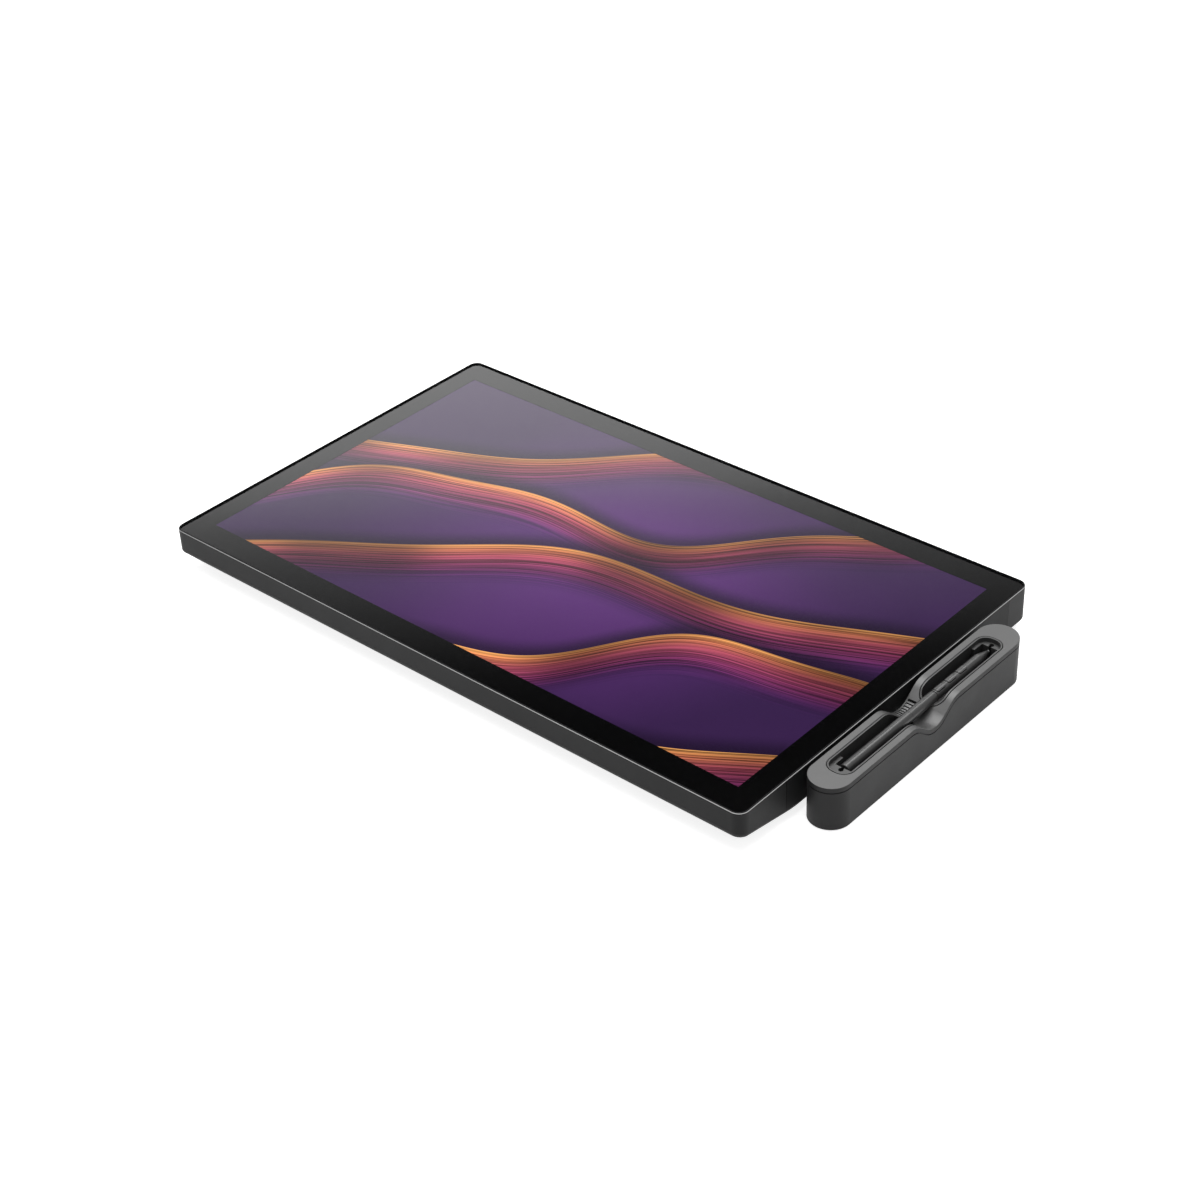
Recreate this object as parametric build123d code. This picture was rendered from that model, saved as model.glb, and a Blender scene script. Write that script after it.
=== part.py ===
from build123d import *
import math
import os

# A pen display lying flat on its feet, with a pen tray pivoted on its right side and a pen in it.
# The pieces are drawn with X to the right, Y away from the user and Z up, from the middle of the
# glass's top face. Each is then moved so that the origin is on the desk, under the middle of the
# whole outline.

# Clearances that all pieces share
seat_gap = 0.05
run_gap = 0.05
slide_gap = 0.15
part_gap = 0.3
overrun = 1.0
round_end_share = 0.49
blend_share = 0.999

# Outline of the display
active_width = 476.06
active_length = 267.79
side_bezel = 19.47
end_bezel = 22.1
body_width = active_width + 2 * side_bezel
body_length = active_length + 2 * end_bezel
body_depth = 28.0
body_corner = 7.5
front_height = 19.3
slope_run = 52.0
slope_blend = 80.0
bottom_round = 3.0
half_width = body_width / 2
half_length = body_length / 2

# Glass, its black border and the tape that holds it
rim_land = 0.75
rim_chamfer = 0.5
glass_gap = 0.35
glass_thickness = 1.1
glass_edge = 0.2
mask_thickness = 0.1
tape_thickness = 0.3
tape_width = 4.0
glass_width = body_width - 2 * (rim_land + glass_gap)
glass_length = body_length - 2 * (rim_land + glass_gap)
glass_corner = body_corner - rim_land - glass_gap

# Side frame and rear cover
frame_wall = 2.5
shelf_width = 8.0
shelf_thickness = 1.6
seam_height = 3.4
seam_gap = 0.1
cover_wall = 2.2
boss_radius = 2.4
boss_inset = 5.9
boss_x_shares = (-0.66, -0.24, 0.24, 0.66)
boss_y_shares = (-0.5, 0.5)

# Screen, light and sensor, stacked under the glass
lcd_border = 3.0
lcd_thickness = 1.3
light_border = 5.0
light_thickness = 4.0
led_width = 2.4
led_height = 1.6
led_end_gap = 4.0
sensor_gap = 2.5
sensor_thickness = 1.0
chassis_gap = 0.5
chassis_thickness = 1.2

# Heights of the stack, downwards from the glass
lcd_top = -(glass_thickness + mask_thickness)
shelf_top = lcd_top - tape_thickness
shelf_bottom = shelf_top - shelf_thickness
light_top = lcd_top - lcd_thickness
sensor_top = light_top - light_thickness
chassis_top = sensor_top - sensor_thickness
chassis_bottom = chassis_top - chassis_thickness

# Screws, with a hexagon socket in each head
small_shank_radius = 1.25
small_shank_length = 5.2
small_head_radius = 2.3
small_head_height = 1.2
cover_shank_radius = 1.5
cover_head_radius = 2.7
cover_head_height = 1.3
socket_share = 0.5
socket_depth_share = 0.6

# Boards in the bay under the chassis
standoff_height = 5.0
standoff_radius = 2.6
board_thickness = 1.2
board_hole_inset = 4.0
board_top = chassis_bottom - standoff_height
board_bottom = board_top - board_thickness
main_board_x = -30.0
main_board_width = 140.0
main_board_length = 80.0
power_board_x = 120.0
power_board_y = -42.0
power_board_width = 100.0
power_board_length = 56.0
port_board_width = 144.0
port_board_length = 24.0
board_spacing = 22.145
chip_size = 25.0
chip_height = 1.6
chip_inset_x = 17.0
chip_inset_y = 27.0
chip_x = main_board_x + main_board_width / 2 - chip_inset_x
coil_size = 14.0
coil_height = 6.0
coil_pitch = 28.0
coil_count = 3
ribbon_width = 30.0
ribbon_offset = 15.0
ribbon_thickness = 0.3
ribbon_x = main_board_x - ribbon_offset
ribbon_y = -(half_length - shelf_width - sensor_gap / 2)

# Port recess at the back, with the sockets in its front wall
recess_width = 150.0
recess_depth = 38.0
recess_headroom = 1.9
recess_wall = 1.8
recess_ceiling = board_bottom + recess_headroom
recess_front = half_length - recess_depth
port_board_y = recess_front - recess_wall - seat_gap - port_board_length / 2
main_board_y = port_board_y - (port_board_length + main_board_length) / 2 - board_spacing
chip_y = main_board_y + main_board_length / 2 - chip_inset_y
socket_reach = 10.0
video_x = 20.0
video_width = 15.0
video_height = 5.6
display_x = -12.0
display_width = 18.0
display_height = 6.0
data_x = -42.0
data_width = 9.0
data_height = 3.3
socket_shell = 0.5
tongue_thickness = 0.9
tongue_side_gap = 1.6
tongue_set_back = 1.0
jack_x = 50.0
jack_width = 10.0
jack_height = 9.0
jack_bore_radius = 2.9
jack_bore_length = 9.0
jack_pin_radius = 0.9

# Fan and heat sink
fan_x = 120.0
fan_back_inset = 95.995
fan_y = half_length - fan_back_inset
fan_size = 64.0
fan_height = 10.0
fan_wall = 1.2
fan_rim = 5.5
fan_inlet_radius = 20.0
rotor_gap = 2.0
rotor_end_gap = 0.6
rotor_radius = fan_size / 2 - fan_rim - rotor_gap
hub_radius = 9.0
hub_floor = 1.4
fan_shaft_radius = 1.0
fan_bearing_radius = 3.0
fan_bearing_wall = 0.8
blade_count = 13
blade_thickness = 0.8
blade_lean = 30.0
fin_count = 14
fin_thickness = 0.8
fin_height = 9.0
fin_end_gap = 7.0
fin_base = 1.2
sink_width = 58.0
fan_to_fins = 4.5
pipe_width = 6.0
pipe_height = 2.4
chip_block_size = 30.0

# Vents
vent_width = 2.2
vent_pitch = 4.4
vent_count = 14
rear_vent_length = 44.0
wall_vent_margin = 0.5

# Wall-mount plate with threaded inserts
mount_spacing = 100.0
mount_y = 5.0
mount_plate_margin = 9.0
mount_plate_size = mount_spacing + 2 * mount_plate_margin
mount_plate_thickness = 2.0
insert_radius = 4.0
insert_bore = 2.0

# Rear cover screws
rear_screw_outer_inset = 32.5
rear_screw_recess_gap = 9.0
rear_screw_setback = 20.0
rear_screw_back_inset = 17.0
rear_screw_inner_x = recess_width / 2 + rear_screw_recess_gap
rear_screw_front_y = -half_length + slope_run + rear_screw_setback
rear_boss_wall = 1.7
rear_recess_depth = 1.5

# Rubber feet
foot_height = 5.0
foot_seat = 1.0
foot_width = 44.0
foot_length = 12.0
foot_inset_x = 67.5
foot_setback = 26.0
foot_back_inset = 31.0
foot_front_y = -half_length + slope_run + foot_setback
foot_edge = 0.8

# Keys, four on each side of the rear, and the boards with their switches
key_count = 4
key_inset = 19.5
key_pitch = 24.0
key_middle_y = 8.0
key_width = 6.5
key_length = 15.0
key_proud = 0.9
key_flange = 1.2
key_flange_thickness = 0.8
key_travel = 0.5
key_board_width = 13.0
key_board_overhang = 9.0
tact_size = 5.0
tact_height = 1.6
board_post_radius = 1.8
board_post_inset = 3.0

# Power button and touch switch in the back wall, with their board
back_board_margin = 10.25
back_board_height = 9.0
back_switch_z = chassis_bottom - part_gap - back_board_height / 2
power_inset = 42.5
power_radius = 3.5
power_proud = 0.5
power_travel = 0.5
touch_inset = 68.0
touch_width = 5.0
touch_height = 2.6
touch_proud = 0.7
touch_groove = 0.4
touch_travel = 3.0

# Side covers and the rails behind them
side_cover_front_inset = 44.0
side_cover_back_inset = 25.0
side_cover_plate = 1.4
side_cover_gap = 0.15
rail_length = 200.0
rail_width = 6.0
rail_height = 8.6

# Tray bracket and pivot on the right side
tray_gap = 2.8
bracket_thickness = 1.4
bracket_half_height = 4.5
bracket_screw_y = 15.0
bracket_end = 7.0
bracket_shank_length = 8.0
pivot_z = -(body_depth - bottom_round - bracket_half_height - 2 * run_gap)
pivot_radius = 2.5
pivot_head_radius = 3.3
pivot_head_height = 1.5

# Pen
pen_z = -5.7
pen_radius = 3.8
pen_wall = 0.8
pen_bore = pen_radius - pen_wall
pen_tail = -76.9
tail_cap_length = 5.0
tail_edge = 0.5
rear_barrel_length = 62.9
front_barrel_length = 67.0
nose_straight_length = 10.6
nose_cone_length = 10.7
nose_end_radius = 1.05
nib_reach = 1.6
pen_joint_y = pen_tail + tail_cap_length + rear_barrel_length
pen_nose_joint_y = pen_joint_y + front_barrel_length
nose_straight_end = pen_nose_joint_y + nose_straight_length
nose_end = nose_straight_end + nose_cone_length
pen_tip = nose_end + nib_reach
pen_seam = 0.1
spigot_length = 3.5
spigot_wall = 0.6
spigot_web = 1.2
spigot_radius = pen_bore - seat_gap
spigot_bore = spigot_radius - spigot_wall

# Side switches of the pen, and a fine groove behind them
switch_count = 3
switch_length = 8.4
switch_spacing = 3.8
switch_width = 4.2
switch_corner = 1.2
switch_proud = 0.3
switch_gap = 0.3
switch_thickness = 0.9
switch_travel = 0.35
switch_stem = 1.6
switch_nose_land = 1.5
switch_end_gap = spigot_length + switch_gap + pen_seam + switch_nose_land
dimple_radius = 0.45
ring_count = 1
ring_gap = 1.85
ring_pitch = 1.25
ring_width = 0.7
ring_depth = 0.35

# Inside the pen
circuit_drop = 0.4
circuit_thickness = 0.8
circuit_reach = 21.0
circuit_margin = 0.6
circuit_gap = 0.1
pen_tact_height = 1.4
pen_tact_length = 3.0
nib_radius = 0.7
nib_run_gap = 0.06
nib_travel = 0.3
nib_grip = 3.4
nib_bore = 0.9
sensor_length = 4.5
sensor_back_gap = 0.5
nose_room = nose_straight_length - pen_seam - spigot_web
nose_coil_length = nose_room - sensor_back_gap - sensor_length - 2 * seat_gap

# Cradles at the ends of the tray's two pockets
cradle_drop = 3.2
front_cradle_arm = 18.0
rear_cradle_arm = 15.1
cradle_slot_width = 11.8
cradle_tail_gap = 1.3
cradle_tip_gap = 0.7
cradle_rim = 1.05
keyhole_radius = 1.7
keyhole_reach = 2.3
keyhole_neck = 2.2
front_cradle_slot_end = cradle_tail_gap - pen_tail
rear_cradle_slot_end = pen_tip + cradle_tip_gap

# Pockets in the tray, one before and one behind the bridge under the middle of the pen
pocket_width = 19.2
pocket_corner = 8.5
front_pocket_start = 8.0
rear_pocket_start = 10.5
pocket_edge = 0.4
liner_gap = 0.4
liner_wall = 0.9
liner_floor = 1.4
lip_drop = 0.15
saddle_width = 8.0
saddle_thickness = 2.5
saddle_tail_inset = 10.9
saddle_nose_inset = 6.6
pocket_end = (max(front_cradle_slot_end, rear_cradle_slot_end) + keyhole_reach + keyhole_radius
              + cradle_rim + seat_gap + liner_wall + liner_gap)

# Pen tray
cap_ring = 4.8
tray_end_land = 17.0
tray_width = pocket_width + 2 * cap_ring
tray_length = 2 * (pocket_end + tray_end_land)
tray_x = half_width + tray_gap + tray_width / 2
tray_wall = 2.2
tray_floor = 2.2
pad_inset = 3.0
pad_thickness = 0.8
pad_desk_gap = 0.1
tray_bottom = -(body_depth + foot_height - pad_thickness - pad_desk_gap)
cap_thickness = 3.5
cap_edge = 0.3
groove_height = 0.7
groove_depth = 0.6
dip_half_length = 26.0
dip_depth = 12.0
dip_slope = 38.0

# Spare nibs in slots across the bridge
nib_slot_count = 7
spare_nib_count = 6
nib_slot_first_y = -5.0
nib_slot_pitch = 2.33
nib_slot_width = 2 * (nib_radius + seat_gap)
nib_slot_depth = 1.9
nib_slot_length = 10.5
nib_slot_inset = 1.3
spare_nib_end_gap = 0.4

# Tray screws
tray_post_x = 6.5
tray_post_setback = 5.5
tray_post_radius = 2.6
tray_boss_height = 8.0
tray_boss_wall = 1.7
tray_shank_length = 10.0
tray_recess_depth = 1.4

# The shift from the drawing frame to the finished part
outline_right = tray_x + tray_width / 2
shift_x = (half_width - outline_right) / 2
shift_y = -max(power_proud, touch_proud) / 2
shift_z = body_depth + foot_height


def between(xs, ys, zs):
    # a block between two corners
    size = (xs[1] - xs[0], ys[1] - ys[0], zs[1] - zs[0])
    middle = (sum(xs) / 2, sum(ys) / 2, sum(zs) / 2)
    return Pos(*middle) * Box(*size)


def slab(width, length, corner, zs, x=0, y=0):
    # a plate with rounded upright edges
    outline = RectangleRounded(width, length, corner)
    return Pos(x, y, zs[0]) * extrude(outline, zs[1] - zs[0])


def post(x, y, zs, radius):
    return Pos(x, y, sum(zs) / 2) * Cylinder(radius, zs[1] - zs[0])


def rod_x(xs, y, z, radius):
    return Pos(sum(xs) / 2, y, z) * Rot(0, 90, 0) * Cylinder(radius, xs[1] - xs[0])


def rod_y(x, ys, z, radius):
    return Pos(x, sum(ys) / 2, z) * Rot(90, 0, 0) * Cylinder(radius, ys[1] - ys[0])


def screw(shank_radius, shank_length, head_radius, head_height):
    # the head's underside is at the origin, and the shank points up
    head = Pos(0, 0, -head_height / 2) * Cylinder(head_radius, head_height)
    shank = Pos(0, 0, shank_length / 2) * Cylinder(shank_radius, shank_length)
    depth = head_height * socket_depth_share
    socket = extrude(RegularPolygon(head_radius * socket_share, 6), depth)
    return head + shank - Pos(0, 0, -head_height) * socket


def group(pieces):
    return Compound(children=list(pieces))


# Display shells

def above_underside(lift):
    # all that is over the underside once this is lifted, across the whole width
    knee = (-half_length + slope_run, lift - body_depth)
    slope = (body_depth - front_height) / slope_run
    front_y = -half_length - overrun
    front_z = lift - front_height + slope * overrun
    back_y = half_length + overrun
    under = FilletPolyline((front_y, front_z), knee, (back_y, lift - body_depth), radius=slope_blend)
    rest = Polyline((back_y, lift - body_depth), (back_y, 0), (front_y, 0), (front_y, front_z))
    profile = Plane.YZ * make_face(under + rest)
    return extrude(profile, half_width + overrun, both=True)


def plan_block(inset, zs):
    corner = max(body_corner - inset, rim_chamfer)
    return slab(body_width - 2 * inset, body_length - 2 * inset, corner, zs)


def outer_block():
    block = above_underside(0) & plan_block(0, (-body_depth - overrun, 0))
    near_x = half_width - body_corner
    near_y = half_length - body_corner
    low = [e for f in block.faces() if f.normal_at().Z < -0.5 for e in f.edges()]
    rim = [e for e in low if abs(e.center().X) > near_x or abs(e.center().Y) > near_y]
    block = fillet(rim, bottom_round)
    top = block.edges().filter_by_position(Axis.Z, 0, 0)
    return chamfer(top, rim_chamfer)


def side_cover_zone(side, gap):
    inner_x = half_width - side_cover_plate - gap
    outer_x = half_width + overrun
    xs = (inner_x, outer_x) if side > 0 else (-outer_x, -inner_x)
    ys = (side_cover_front_inset - half_length - gap, half_length - side_cover_back_inset + gap)
    return between(xs, ys, (-body_depth, overrun))


def frame_boss_places():
    near_x = half_width - boss_inset
    near_y = half_length - boss_inset
    rows = [(share * half_width, side * near_y) for share in boss_x_shares for side in (-1, 1)]
    columns = [(side * near_x, share * half_length) for share in boss_y_shares for side in (-1, 1)]
    return rows + columns


def recess_tub(grow):
    half = recess_width / 2 + grow
    ys = (recess_front - grow, half_length + overrun)
    return between((-half, half), ys, (-body_depth - overrun, recess_ceiling + grow))


def bracket_holes(radius):
    xs = (half_width - frame_wall - rail_width - overrun, half_width + tray_gap)
    return [rod_x(xs, side * bracket_screw_y, pivot_z, radius) for side in (-1, 1)]


def wall_vents():
    first = fan_x - vent_pitch * (vent_count - 1) / 2
    ys = (half_length - frame_wall - overrun, half_length + overrun)
    zs = (fin_bottom() + wall_vent_margin, chassis_bottom - fin_base - wall_vent_margin)
    xs = [first + vent_pitch * k for k in range(vent_count)]
    return [between((x - vent_width / 2, x + vent_width / 2), ys, zs) for x in xs]


def side_frame(outer):
    glass_rebate = plan_block(rim_land, (shelf_top, overrun))
    hollow = plan_block(frame_wall, (-body_depth, overrun))
    frame = (outer & above_underside(seam_height + seam_gap)) - glass_rebate - hollow
    shelf = plan_block(frame_wall - seat_gap, (shelf_bottom, shelf_top))
    frame += shelf - plan_block(shelf_width, (shelf_bottom - overrun, shelf_top + overrun))
    for x, y in frame_boss_places():
        frame += post(x, y, (chassis_top, shelf_bottom), boss_radius)
        hole_top = chassis_bottom + small_shank_length + slide_gap
        frame -= post(x, y, (chassis_top, hole_top), small_shank_radius + seat_gap)
    for side in (-1, 1):
        frame -= side_cover_zone(side, side_cover_gap)
    frame -= recess_tub(recess_wall + seat_gap)
    for hole in bracket_holes(cover_shank_radius + seat_gap) + wall_vents():
        frame -= hole
    wall_y = half_length - frame_wall
    through = (wall_y - overrun, half_length + overrun)
    frame -= rod_y(half_width - power_inset, through, back_switch_z, power_radius + slide_gap)
    slot_width = touch_width + touch_travel + 2 * slide_gap
    slot_height = touch_height + 2 * slide_gap
    slot = around((half_width - touch_inset, half_length, back_switch_z), slot_width, slot_height)
    frame -= slot
    for x in back_board_posts():
        frame += rod_y(x, (back_board_face(), wall_y + seat_gap), back_switch_z, board_post_radius)
    return frame


def around(middle, width, height):
    # a slot through the back wall
    reach = frame_wall + overrun
    ys = (middle[1] - reach, middle[1] + overrun)
    xs = (middle[0] - width / 2, middle[0] + width / 2)
    return between(xs, ys, (middle[2] - height / 2, middle[2] + height / 2))


def rear_screw_places():
    outer_x = half_width - rear_screw_outer_inset
    back_y = half_length - rear_screw_back_inset
    xs = (-outer_x, -rear_screw_inner_x, rear_screw_inner_x, outer_x)
    return [(x, y) for x in xs for y in (rear_screw_front_y, back_y)]


def foot_places():
    x = half_width - foot_inset_x
    return [(side * x, y) for side in (-1, 1) for y in (foot_front_y, half_length - foot_back_inset)]


def key_places():
    first = key_middle_y - key_pitch * (key_count - 1) / 2
    x = half_width - key_inset
    return [(side * x, first + key_pitch * k) for side in (-1, 1) for k in range(key_count)]


def mount_places():
    reach = mount_spacing / 2
    return [(x * reach, mount_y + y * reach) for x in (-1, 1) for y in (-1, 1)]


def rear_vents():
    vents = []
    for middle in (-fan_x, fan_x):
        first = middle - vent_pitch * (vent_count - 1) / 2
        for k in range(vent_count):
            x = first + vent_pitch * k
            zs = (-body_depth - overrun, -body_depth + cover_wall + overrun)
            vents.append(slab(vent_width, rear_vent_length, vent_width * round_end_share, zs, x, fan_y))
    return vents


def key_board_ends():
    reach = (key_pitch * (key_count - 1) + key_length) / 2 + key_board_overhang
    return key_middle_y - reach, key_middle_y + reach


def key_board_bottom():
    flange_top = -body_depth + cover_wall + seat_gap + key_flange_thickness
    return flange_top + key_travel + seat_gap + tact_height


def foot_block(x, y, grow, zs):
    corner = foot_length * round_end_share
    return slab(foot_width + 2 * grow, foot_length + 2 * grow, corner, zs, x, y)


def rear_cover(outer):
    floor_z = -body_depth + cover_wall
    hollow = above_underside(cover_wall) & plan_block(frame_wall, (-body_depth - overrun, overrun))
    cover = outer - above_underside(seam_height) - hollow
    cover = cover + (recess_tub(recess_wall) & outer) - recess_tub(0)
    for x, y in rear_screw_places():
        cover += post(x, y, (floor_z - seat_gap, chassis_bottom), cover_shank_radius + rear_boss_wall)
        cover -= post(x, y, (-body_depth - overrun, chassis_bottom), cover_shank_radius + seat_gap)
        recess_top = -body_depth + rear_recess_depth
        cover -= post(x, y, (-body_depth - overrun, recess_top), cover_head_radius + seat_gap)
    low, high = key_board_ends()
    for x in (key_inset - half_width, half_width - key_inset):
        for y in (low + board_post_inset, high - board_post_inset):
            cover += post(x, y, (floor_z - seat_gap, key_board_bottom()), board_post_radius)
    grow = 2 * slide_gap
    for x, y in key_places():
        zs = (-body_depth - overrun, floor_z + overrun)
        cover -= slab(key_width + grow, key_length + grow, (key_width + grow) * round_end_share, zs, x, y)
    for x, y in foot_places():
        cover -= foot_block(x, y, seat_gap, (-body_depth - overrun, -body_depth + foot_seat))
    for x, y in mount_places():
        cover -= post(x, y, (-body_depth - overrun, floor_z + overrun), insert_radius + seat_gap)
    for vent in rear_vents():
        cover -= vent
    for x, width, height in socket_openings():
        xs = (x - width / 2 - seat_gap, x + width / 2 + seat_gap)
        zs = (board_bottom - height - seat_gap, board_bottom + seat_gap)
        cover -= between(xs, (recess_front - recess_wall - overrun, recess_front + overrun), zs)
    return cover


def side_cover(outer, side):
    cover = outer & side_cover_zone(side, 0) & above_underside(seam_height + seam_gap)
    cover -= plan_block(rim_land, (shelf_top - seat_gap, overrun))
    if side > 0:
        for hole in bracket_holes(cover_shank_radius + seat_gap):
            cover -= hole
    return cover


# Screen stack

def cover_glass():
    glass = slab(glass_width, glass_length, glass_corner, (-glass_thickness, 0))
    return chamfer(glass.edges().filter_by_position(Axis.Z, 0, 0), glass_edge)


def bezel_mask():
    zs = (lcd_top, -glass_thickness)
    window = centred(active_width, active_length, (lcd_top - overrun, overrun))
    return slab(glass_width, glass_length, glass_corner, zs) - window


def glass_tape():
    zs = (shelf_top, lcd_top)
    outer = slab(glass_width, glass_length, glass_corner, zs)
    inner_corner = max(glass_corner - tape_width, rim_chamfer)
    inner_size = (glass_width - 2 * tape_width, glass_length - 2 * tape_width)
    return outer - slab(*inner_size, inner_corner, (shelf_top - overrun, lcd_top + overrun))


def centred(width, length, zs):
    return between((-width / 2, width / 2), (-length / 2, length / 2), zs)


def lcd_panel():
    return centred(active_width + 2 * lcd_border, active_length + 2 * lcd_border, (light_top, lcd_top))


def led_zone(grow):
    half = active_width / 2 + light_border - led_end_gap + grow
    front = -active_length / 2 - light_border
    top = light_top - (light_thickness - led_height) / 2
    ys = (front - grow, front + led_width + grow)
    return between((-half, half), ys, (top - led_height - grow, top + grow))


def backlight_unit():
    width = active_width + 2 * light_border
    length = active_length + 2 * light_border
    return centred(width, length, (sensor_top, light_top)) - led_zone(seat_gap)


def led_bar():
    return led_zone(0)


def pen_sensor_board():
    width = body_width - 2 * (shelf_width + sensor_gap)
    length = body_length - 2 * (shelf_width + sensor_gap)
    return centred(width, length, (chassis_top, sensor_top))


def board_places(x, y, width, length):
    reach_x = width / 2 - board_hole_inset
    reach_y = length / 2 - board_hole_inset
    return [(x + i * reach_x, y + j * reach_y) for i in (-1, 1) for j in (-1, 1)]


def standoff_places():
    return (board_places(main_board_x, main_board_y, main_board_width, main_board_length)
            + board_places(power_board_x, power_board_y, power_board_width, power_board_length)
            + board_places(0, port_board_y, port_board_width, port_board_length))


def inner_chassis():
    inset = frame_wall + chassis_gap
    chassis = plan_block(inset, (chassis_bottom, chassis_top))
    for x, y in standoff_places():
        chassis += post(x, y, (board_top, chassis_bottom), standoff_radius)
        chassis -= post(x, y, (board_top - overrun, chassis_top), small_shank_radius + seat_gap)
    for x, y in frame_boss_places():
        chassis -= post(x, y, (chassis_bottom, chassis_top), small_shank_radius + seat_gap)
    for x, y in rear_screw_places():
        chassis -= post(x, y, (chassis_bottom, chassis_top), cover_shank_radius + seat_gap)
    return chassis - ribbon_drop(slide_gap)


def ribbon_drop(grow):
    xs = (ribbon_x - ribbon_width / 2 - grow, ribbon_x + ribbon_width / 2 + grow)
    ys = (ribbon_y - ribbon_thickness / 2 - grow, ribbon_y + ribbon_thickness / 2 + grow)
    return between(xs, ys, (chassis_bottom - ribbon_thickness - grow, light_top + grow))


def display_ribbon():
    xs = (ribbon_x - ribbon_width / 2, ribbon_x + ribbon_width / 2)
    lcd_edge = -active_length / 2 - lcd_border
    board_edge = main_board_y - main_board_length / 2
    ribbon = between(xs, (ribbon_y, lcd_edge), (light_top, light_top + ribbon_thickness))
    ribbon += ribbon_drop(0)
    under = (chassis_bottom - ribbon_thickness, chassis_bottom)
    ribbon += between(xs, (ribbon_y, board_edge + ribbon_thickness), under)
    return ribbon + between(xs, (board_edge, board_edge + ribbon_thickness), (board_top, chassis_bottom))


# Electronics

def square(x, y, size, zs):
    return between((x - size / 2, x + size / 2), (y - size / 2, y + size / 2), zs)


def board(x, y, width, length):
    xs = (x - width / 2, x + width / 2)
    pcb = between(xs, (y - length / 2, y + length / 2), (board_bottom, board_top))
    through = (board_bottom - overrun, board_top + overrun)
    for hole_x, hole_y in board_places(x, y, width, length):
        pcb -= post(hole_x, hole_y, through, small_shank_radius + seat_gap)
    return pcb


def main_board():
    pcb = board(main_board_x, main_board_y, main_board_width, main_board_length)
    return pcb + square(chip_x, chip_y, chip_size, (board_bottom - chip_height, board_bottom))


def power_board():
    pcb = board(power_board_x, power_board_y, power_board_width, power_board_length)
    first = power_board_x - coil_pitch * (coil_count - 1) / 2
    for k in range(coil_count):
        zs = (board_bottom - coil_height, board_bottom)
        pcb += square(first + coil_pitch * k, power_board_y, coil_size, zs)
    return pcb


def port_board():
    return board(0, port_board_y, port_board_width, port_board_length)


def socket_openings():
    return ((video_x, video_width, video_height), (display_x, display_width, display_height),
            (data_x, data_width, data_height), (jack_x, jack_width, jack_height))


def plug_socket(x, width, height):
    # a metal shell under the port board, with a flat tongue in its mouth
    ys = (recess_front - socket_reach, recess_front)
    xs = (x - width / 2, x + width / 2)
    zs = (board_bottom - height, board_bottom)
    mouth_ys = (ys[0] + socket_shell, ys[1] + overrun)
    inner_xs = (xs[0] + socket_shell, xs[1] - socket_shell)
    inner_zs = (zs[0] + socket_shell, zs[1] - socket_shell)
    shell = between(xs, ys, zs) - between(inner_xs, mouth_ys, inner_zs)
    middle = sum(zs) / 2
    tongue_zs = (middle - tongue_thickness / 2, middle + tongue_thickness / 2)
    tongue_xs = (inner_xs[0] + tongue_side_gap, inner_xs[1] - tongue_side_gap)
    return shell + between(tongue_xs, (ys[0], ys[1] - tongue_set_back), tongue_zs)


def power_socket():
    ys = (recess_front - socket_reach, recess_front)
    zs = (board_bottom - jack_height, board_bottom)
    middle = sum(zs) / 2
    jack = between((jack_x - jack_width / 2, jack_x + jack_width / 2), ys, zs)
    jack -= rod_y(jack_x, (ys[1] - jack_bore_length, ys[1] + overrun), middle, jack_bore_radius)
    return jack + rod_y(jack_x, (ys[0], ys[1] - tongue_set_back), middle, jack_pin_radius)


def fan_levels():
    # the underside of the fan's top plate and the top of its bottom plate
    return chassis_bottom - fan_wall, chassis_bottom - fan_height + fan_wall


def hub_floor_top():
    return fan_levels()[1] + rotor_end_gap + hub_floor


def fan_housing():
    top, bottom = fan_levels()
    half = fan_size / 2
    reach = rotor_radius + rotor_gap
    housing = square(fan_x, fan_y, fan_size, (chassis_bottom - fan_height, chassis_bottom))
    housing -= post(fan_x, fan_y, (bottom, top), reach)
    housing -= between((fan_x - reach, fan_x + reach), (fan_y, fan_y + half + overrun), (bottom, top))
    housing -= post(fan_x, fan_y, (bottom - fan_wall - overrun, bottom + overrun), fan_inlet_radius)
    bearing_bottom = hub_floor_top() + rotor_end_gap
    housing += post(fan_x, fan_y, (bearing_bottom, top + seat_gap), fan_bearing_radius)
    bore = (bearing_bottom - overrun, top - fan_bearing_wall)
    return housing - post(fan_x, fan_y, bore, fan_shaft_radius + run_gap)


def fan_rotor():
    top, bottom = fan_levels()
    low = bottom + rotor_end_gap
    high = top - rotor_end_gap
    hub = post(0, 0, (low, high), hub_radius)
    hub -= post(0, 0, (hub_floor_top(), high + overrun), fan_bearing_radius + rotor_end_gap)
    hub += post(0, 0, (low, top - fan_bearing_wall - run_gap), fan_shaft_radius)
    length = (rotor_radius - hub_radius) / math.cos(math.radians(blade_lean)) + overrun
    blade = Pos(length / 2 - blade_thickness, 0, (low + high) / 2) * Box(length, blade_thickness, high - low)
    blade = Pos(hub_radius, 0, 0) * Rot(0, 0, blade_lean) * blade
    blade &= post(0, 0, (low - overrun, high + overrun), rotor_radius)
    for k in range(blade_count):
        hub += Rot(0, 0, 360 * k / blade_count) * blade
    return Pos(fan_x, fan_y, 0) * hub


def fin_bottom():
    return chassis_bottom - fin_base - fin_height


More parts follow.
